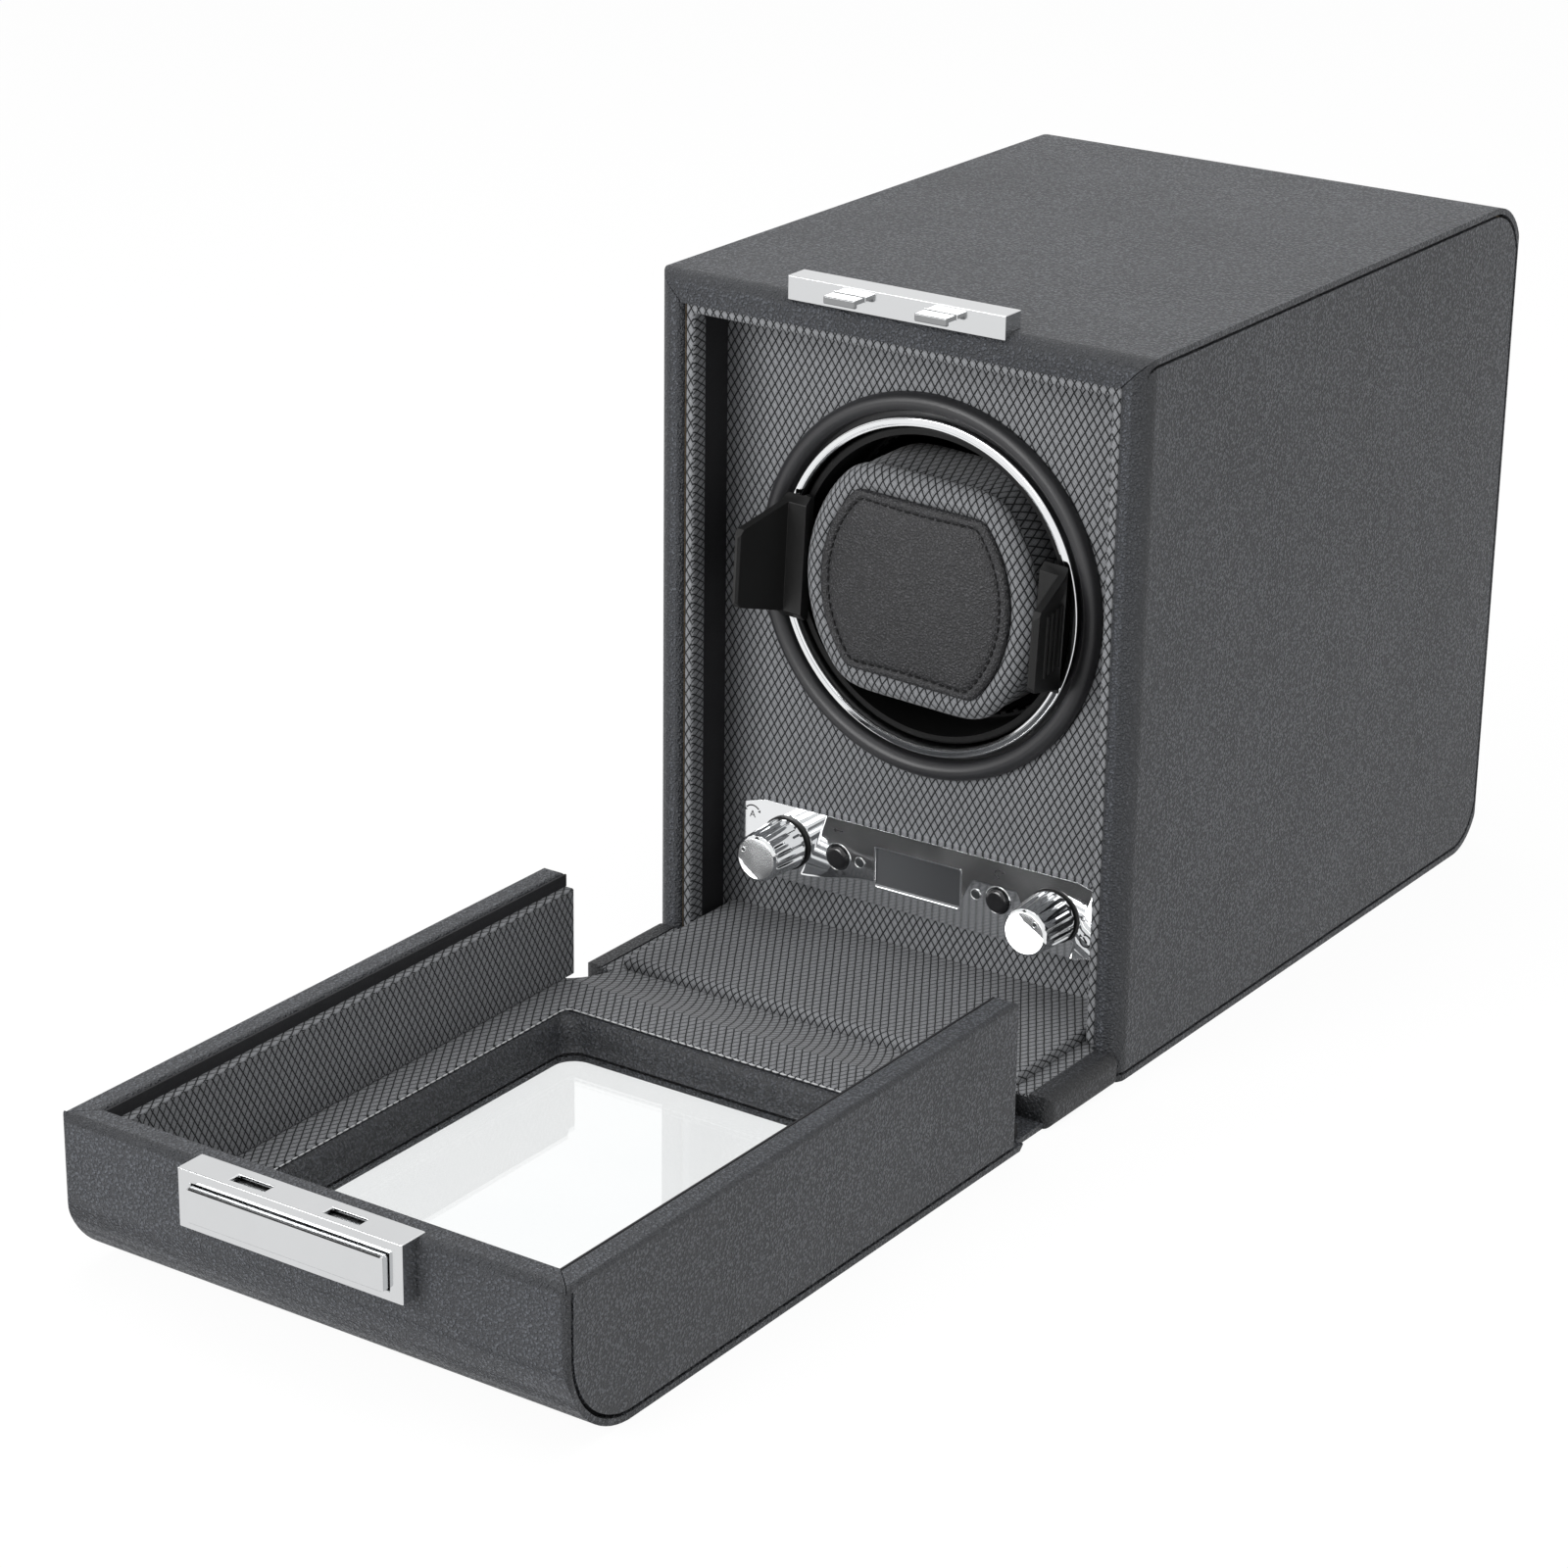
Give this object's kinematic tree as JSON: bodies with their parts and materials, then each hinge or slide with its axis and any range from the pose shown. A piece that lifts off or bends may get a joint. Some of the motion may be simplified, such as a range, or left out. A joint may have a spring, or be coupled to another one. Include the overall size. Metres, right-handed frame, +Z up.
{
  "type": "watch winder box",
  "caption": "Leather-wrapped winder box with a turning drum, padded watch cuff, chrome control plate and a hinged drop-front lid with a glass window, shown open",
  "frame": {"origin": "centre of the case's resting base, on the surface it stands on", "axes": "X to the right as seen from the front, Y to the back (the lid lies towards -Y), Z up; rest pose has the lid lying open"},
  "size_m": [0.14, 0.4292, 0.1886],
  "materials": {
    "case_leather": "black pebble-grained leather",
    "side_leather": "black pebble-grained leather over a thin pad",
    "diamond_fabric": "grey woven fabric with a black diamond line pattern",
    "cuff_leather": "soft black leather, stitched",
    "board": "fibreboard under the covering",
    "black_lining": "smooth black leatherette",
    "black_ring": "soft matt black moulding",
    "chrome": "mirror chrome plate",
    "black_plastic": "fine matt black moulding",
    "gloss_black": "gloss black moulding",
    "screen": "dark grey display window",
    "lamp": "smoked lamp lens",
    "board_green": "circuit board",
    "steel": "plain steel",
    "brass": "plain brass",
    "acetal": "off-white acetal",
    "glass": "clear glass"
  },
  "bodies": {
    "case": {"carcass": "board", "body_wrap": "case_leather", "side_panel_left": "side_leather", "side_panel_right": "side_leather", "lip_frame": "diamond_fabric", "inner_lining": "black_lining", "front_panel": "diamond_fabric", "ring_surround": "black_ring", "chrome_ring": "chrome", "control_plate": "chrome", "screen_lens": "screen", "screen_module": "black_plastic", "circuit_board": "board_green", "encoders": "steel", "lamp_lenses": "lamp", "strike_plate": "chrome", "sill_board": "board", "sill_wrap": "case_leather", "sill_fabric": "diamond_fabric", "platform": "diamond_fabric", "rear_bulkhead": "board", "bearing_bush": "brass", "gear_motor": "steel", "motor_screws": "steel", "power_socket": "black_plastic", "hinge_leather": "case_leather", "hinge_fabric": "diamond_fabric", "knob_collar_left": "gloss_black", "knob_collar_right": "gloss_black"},
    "drum": {"drum_cup": "black_plastic", "grip_ring": "black_plastic", "cuff_socket": "black_plastic", "drum_gear": "acetal", "drum_shaft": "steel", "shaft_clip": "steel", "hub_screws": "steel"},
    "drive_pinion": {"pinion": "acetal", "motor_shaft": "steel"},
    "cuff": {"cuff_cushion": "diamond_fabric", "cuff_pad": "cuff_leather", "cuff_clip": "black_plastic"},
    "lid": {"lid_board": "board", "lid_wrap": "case_leather", "lid_side_left": "side_leather", "lid_side_right": "side_leather", "lid_band": "black_lining", "lid_lining": "diamond_fabric", "window_frame": "diamond_fabric", "window_reveal": "cuff_leather", "window_glass": "glass", "latch_plate": "chrome"},
    "latch_bar": {"push_bar": "chrome", "latch_catch": "steel", "latch_springs": "steel"},
    "left_knob": {"knob_left": "chrome"},
    "right_knob": {"knob_right": "chrome"},
    "left_button": {"button_left": "gloss_black"},
    "right_button": {"button_right": "gloss_black"}
  },
  "joints": [
    {"name": "lid_hinge", "type": "hinge", "parent": "case", "child": "lid", "pos_m": [0, -0.1387, 0.0006], "axis": [-1, 0, 0], "range_deg": [0, 90], "deforming": ["hinge_leather", "hinge_fabric"]},
    {"name": "latch_slide", "type": "slide", "parent": "lid", "child": "latch_bar", "axis": [0, 1, 0], "range_m": [0, 0.001], "stiffness_N_per_m": 1500, "springref_m": -0.001, "deforming": ["latch_springs"]},
    {"name": "drum_spin", "type": "hinge", "parent": "case", "child": "drum", "pos_m": [0, -0.05, 0.1098], "axis": [0, 1, 0], "continuous": true},
    {"name": "pinion_spin", "type": "hinge", "parent": "case", "child": "drive_pinion", "pos_m": [0, -0.0185, 0.06645], "axis": [0, 1, 0], "continuous": true},
    {"name": "cuff_slide", "type": "slide", "parent": "drum", "child": "cuff", "axis": [0, -1, 0], "range_m": [0, 0.0235]},
    {"name": "left_knob_turn", "type": "hinge", "parent": "case", "child": "left_knob", "pos_m": [-0.0404, -0.085, 0.0322], "axis": [0, 1, 0], "range_deg": [-150, 150]},
    {"name": "right_knob_turn", "type": "hinge", "parent": "case", "child": "right_knob", "pos_m": [0.0404, -0.085, 0.0322], "axis": [0, 1, 0], "range_deg": [-150, 150]},
    {"name": "left_button_press", "type": "slide", "parent": "case", "child": "left_button", "axis": [0, 1, 0], "range_m": [0, 0.0008], "stiffness_N_per_m": 400, "springref_m": -0.001},
    {"name": "right_button_press", "type": "slide", "parent": "case", "child": "right_button", "axis": [0, 1, 0], "range_m": [0, 0.0008], "stiffness_N_per_m": 400, "springref_m": -0.001}
  ],
  "couplings": [
    {"joint": "pinion_spin", "follows": "drum_spin", "ratio": -5}
  ]
}
